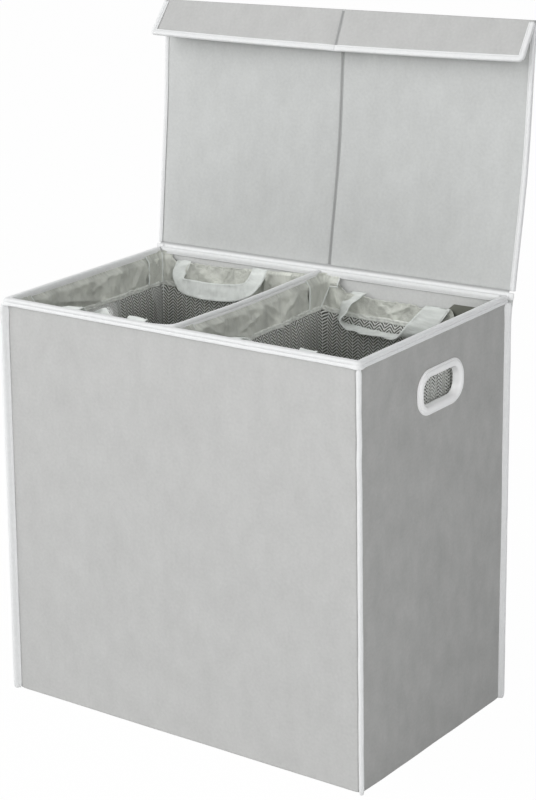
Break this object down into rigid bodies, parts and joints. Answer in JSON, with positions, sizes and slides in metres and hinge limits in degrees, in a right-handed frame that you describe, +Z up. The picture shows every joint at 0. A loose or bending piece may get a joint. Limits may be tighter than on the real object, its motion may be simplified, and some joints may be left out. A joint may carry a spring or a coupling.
{
  "type": "laundry hamper",
  "caption": "Rectangular fabric-covered laundry hamper split by a divider into two lined bins, with strap handles, side grips and a hinged flap lid.",
  "frame": {"origin": "centre of the underside of the box, on the floor", "axes": "+Z up, +X to the right seen from the front, -Y towards the front"},
  "size_m": [0.616, 0.4091, 0.9747],
  "materials": {
    "panel_cloth": "matt light grey non-woven cloth over board",
    "base_board": "plain grey cloth over fibreboard",
    "white_tape": "white folded ribbed tape",
    "white_plastic": "white satin moulded plastic",
    "bag_satin": "grey-green lightly shiny woven lining",
    "bag_net": "dark grey fine net",
    "strap_webbing": "pale soft cotton strap",
    "hinge_cloth": "pale thin cloth strip"
  },
  "bodies": {
    "box": {"front_panel": "panel_cloth", "back_panel": "panel_cloth", "left_panel": "panel_cloth", "right_panel": "panel_cloth", "bottom_panel": "panel_cloth", "left_base_board": "base_board", "right_base_board": "base_board", "divider_panel": "panel_cloth", "divider_binding": "white_tape", "rim_binding": "white_tape", "front_left_piping": "white_tape", "front_right_piping": "white_tape", "back_left_piping": "white_tape", "back_right_piping": "white_tape", "left_grip_ring": "white_plastic", "left_grip_backing_ring": "white_plastic", "right_grip_ring": "white_plastic", "right_grip_backing_ring": "white_plastic", "left_bag_band": "bag_satin", "left_bag_net": "bag_net", "left_bag_front_left_tab": "bag_satin", "left_bag_front_right_tab": "bag_satin", "left_bag_back_left_tab": "bag_satin", "left_bag_back_right_tab": "bag_satin", "right_bag_band": "bag_satin", "right_bag_net": "bag_net", "right_bag_front_left_tab": "bag_satin", "right_bag_front_right_tab": "bag_satin", "right_bag_back_left_tab": "bag_satin", "right_bag_back_right_tab": "bag_satin", "lid_hinge_strip": "hinge_cloth"},
    "lid": {"lid_left_panel": "panel_cloth", "lid_right_panel": "panel_cloth", "lid_centre_seam": "panel_cloth", "lid_left_binding": "white_tape", "lid_right_binding": "white_tape", "flap_hinge_strip": "panel_cloth"},
    "flap": {"flap_left_panel": "panel_cloth", "flap_right_panel": "panel_cloth", "flap_centre_seam": "panel_cloth", "flap_binding": "white_tape"},
    "left_front_strap": {"left_bag_front_handle": "strap_webbing"},
    "left_back_strap": {"left_bag_back_handle": "strap_webbing"},
    "right_front_strap": {"right_bag_front_handle": "strap_webbing"},
    "right_back_strap": {"right_bag_back_handle": "strap_webbing"}
  },
  "joints": [
    {"name": "lid_hinge", "type": "hinge", "parent": "box", "child": "lid", "pos_m": [0, 0.183, 0.604], "axis": [1, 0, 0], "range_deg": [0, 96.5]},
    {"name": "flap_hinge", "type": "hinge", "parent": "lid", "child": "flap", "pos_m": [0, 0.22112, 0.97306], "axis": [1, 0, 0], "range_deg": [-70, 0]},
    {"name": "left_front_strap_hinge", "type": "hinge", "parent": "box", "child": "left_front_strap", "pos_m": [-0.13225, -0.1683, 0.592], "axis": [1, 0, 0], "range_deg": [0, 70]},
    {"name": "left_back_strap_hinge", "type": "hinge", "parent": "box", "child": "left_back_strap", "pos_m": [-0.17825, 0.1683, 0.577], "axis": [-1, 0, 0], "range_deg": [0, 95]},
    {"name": "right_front_strap_hinge", "type": "hinge", "parent": "box", "child": "right_front_strap", "pos_m": [0.15025, -0.1683, 0.592], "axis": [1, 0, 0], "range_deg": [0, 70]},
    {"name": "right_back_strap_hinge", "type": "hinge", "parent": "box", "child": "right_back_strap", "pos_m": [0.12925, 0.1683, 0.564], "axis": [-1, 0, 0], "range_deg": [0, 95]}
  ],
  "couplings": [
    {"joint": "flap_hinge", "follows": "lid_hinge", "ratio": -0.725}
  ]
}
